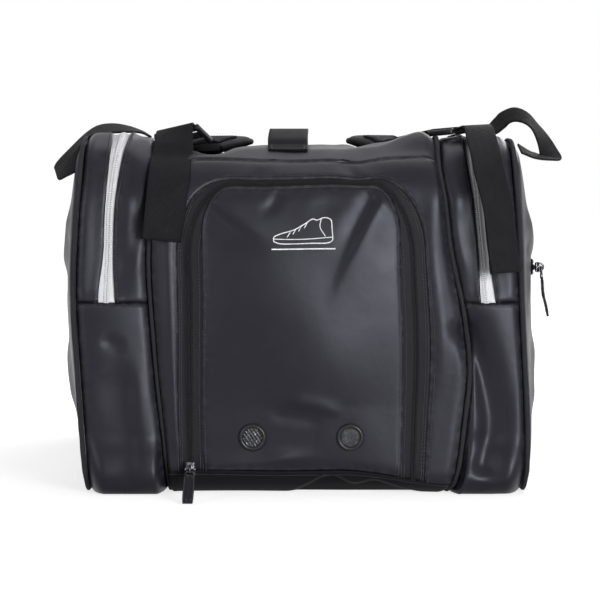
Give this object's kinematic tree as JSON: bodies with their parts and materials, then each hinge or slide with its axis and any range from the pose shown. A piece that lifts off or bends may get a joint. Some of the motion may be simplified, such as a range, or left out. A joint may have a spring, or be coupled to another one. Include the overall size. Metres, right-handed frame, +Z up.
{
  "type": "racket tournament bag",
  "caption": "Soft racket bag with a middle compartment under a zipped lid, a vented shoe compartment in its end, zipped racket pockets at the sides, padded shoulder straps and a carry handle.",
  "frame": {"origin": "middle of the base's flat underside, on the surface that the bag stands on", "axes": "+Z up, +Y from the shoe compartment's end to the rear end, +X to the right as seen facing the shoe compartment"},
  "size_m": [0.4693, 0.6108, 0.3494],
  "materials": {
    "coated_cloth": "satin coated cloth",
    "base_cloth": "matt coated cloth",
    "lining_cloth": "plain lining",
    "stiffener": "extruded sheet",
    "piping_cord": "coated cloth over cord",
    "white_zip_tape": "white woven tape and coil",
    "black_zip_tape": "black woven tape and coil",
    "woven_webbing": "matt woven webbing",
    "strap_padding": "padded air mesh",
    "moulded_plastic": "black moulded plastic",
    "dark_metal": "black plated die casting",
    "pull_tab": "doubled black ribbon"
  },
  "bodies": {
    "bag": {"base_panel": "base_cloth", "base_board": "stiffener", "front_panel": "coated_cloth", "rear_panel": "coated_cloth", "top_panel": "coated_cloth", "shoe_liner": "lining_cloth", "door_zip_outer": "black_zip_tape", "lid_zip_outer": "black_zip_tape", "carry_handle": "woven_webbing", "left_wall": "lining_cloth", "left_pocket_base": "coated_cloth", "left_pocket_gusset": "coated_cloth", "left_pocket_panel": "coated_cloth", "left_zip_inner": "white_zip_tape", "left_piping_inner": "piping_cord", "left_piping_lower": "piping_cord", "left_shoulder_strap": "strap_padding", "left_buckle": "moulded_plastic", "left_strap_web": "woven_webbing", "right_wall": "lining_cloth", "right_pocket_base": "coated_cloth", "right_pocket_gusset": "coated_cloth", "right_pocket_panel": "coated_cloth", "right_zip_inner": "white_zip_tape", "right_piping_inner": "piping_cord", "right_piping_lower": "piping_cord", "right_shoulder_strap": "strap_padding", "right_buckle": "moulded_plastic", "right_strap_web": "woven_webbing"},
    "shoe_door": {"shoe_door": "coated_cloth", "door_zip_inner": "black_zip_tape", "vent_left": "moulded_plastic", "vent_right": "moulded_plastic"},
    "shoe_slider": {"shoe_slider": "dark_metal"},
    "shoe_pull": {"shoe_pull": "pull_tab"},
    "top_lid": {"top_lid": "coated_cloth", "lid_zip_inner": "black_zip_tape"},
    "lid_slider": {"lid_slider": "dark_metal"},
    "lid_pull": {"lid_pull": "pull_tab"},
    "left_flap": {"left_flap_panel": "coated_cloth", "left_flap_gusset": "coated_cloth", "left_flap_piping": "piping_cord", "left_zip_outer": "white_zip_tape", "left_loop": "woven_webbing"},
    "left_slider": {"left_slider": "dark_metal"},
    "left_pull": {"left_pull": "pull_tab"},
    "left_tail": {"left_strap_tail": "woven_webbing"},
    "right_flap": {"right_flap_panel": "coated_cloth", "right_flap_gusset": "coated_cloth", "right_flap_piping": "piping_cord", "right_zip_outer": "white_zip_tape", "right_loop": "woven_webbing", "side_zip": "black_zip_tape"},
    "right_slider": {"right_slider": "dark_metal"},
    "right_pull": {"right_pull": "pull_tab"},
    "right_tail": {"right_strap_tail": "woven_webbing"},
    "side_slider": {"side_slider": "dark_metal"},
    "side_pull": {"side_pull": "pull_tab"}
  },
  "joints": [
    {"name": "shoe_door_fold", "type": "hinge", "parent": "bag", "child": "shoe_door", "pos_m": [0, -0.28, 0.0375], "axis": [1, 0, 0], "range_deg": [0, 90]},
    {"name": "shoe_slider_run", "type": "slide", "parent": "bag", "child": "shoe_slider", "axis": [0, 0, 1], "range_m": [0, 0.16]},
    {"name": "shoe_pull_swing", "type": "hinge", "parent": "shoe_slider", "child": "shoe_pull", "pos_m": [-0.098, -0.2821, 0.0245], "axis": [-1, 0, 0], "range_deg": [0, 100]},
    {"name": "top_lid_fold", "type": "hinge", "parent": "bag", "child": "top_lid", "pos_m": [0, 0.185, 0.31], "axis": [-1, 0, 0], "range_deg": [0, 115]},
    {"name": "lid_slider_run", "type": "slide", "parent": "bag", "child": "lid_slider", "axis": [0, -1, 0], "range_m": [0, 0.23]},
    {"name": "lid_pull_swing", "type": "hinge", "parent": "lid_slider", "child": "lid_pull", "pos_m": [-0.077, 0.196, 0.31248], "axis": [1, 0, 0], "range_deg": [0, 150]},
    {"name": "left_flap_fold", "type": "hinge", "parent": "bag", "child": "left_flap", "pos_m": [-0.218, 0, 0.173], "axis": [0, -1, 0], "range_deg": [0, 40]},
    {"name": "left_slider_run", "type": "slide", "parent": "bag", "child": "left_slider", "axis": [0, 0, 1], "range_m": [0, 0.07]},
    {"name": "left_pull_swing", "type": "hinge", "parent": "left_slider", "child": "left_pull", "pos_m": [-0.172, 0.27507, 0.181], "axis": [1, 0, 0], "range_deg": [0, 150]},
    {"name": "right_flap_fold", "type": "hinge", "parent": "bag", "child": "right_flap", "pos_m": [0.218, 0, 0.173], "axis": [0, 1, 0], "range_deg": [0, 40]},
    {"name": "right_slider_run", "type": "slide", "parent": "bag", "child": "right_slider", "axis": [0, 0, 1], "range_m": [0, 0.07]},
    {"name": "right_pull_swing", "type": "hinge", "parent": "right_slider", "child": "right_pull", "pos_m": [0.172, 0.27507, 0.181], "axis": [1, 0, 0], "range_deg": [0, 150]},
    {"name": "left_tail_swing", "type": "hinge", "parent": "bag", "child": "left_tail", "pos_m": [-0.1159, -0.25732, 0.29847], "axis": [-1, 0, 0], "range_deg": [0, 70]},
    {"name": "right_tail_swing", "type": "hinge", "parent": "bag", "child": "right_tail", "pos_m": [0.1668, -0.264, 0.305], "axis": [-0.7561, -0.6449, -0.1112], "range_deg": [0, 60]},
    {"name": "side_slider_run", "type": "slide", "parent": "right_flap", "child": "side_slider", "axis": [0.023, 0.9997, 0], "range_m": [0, 0.29]},
    {"name": "side_pull_swing", "type": "hinge", "parent": "side_slider", "child": "side_pull", "pos_m": [0.22268, -0.20113, 0.20275], "axis": [0, -1, 0], "range_deg": [0, 120]}
  ]
}
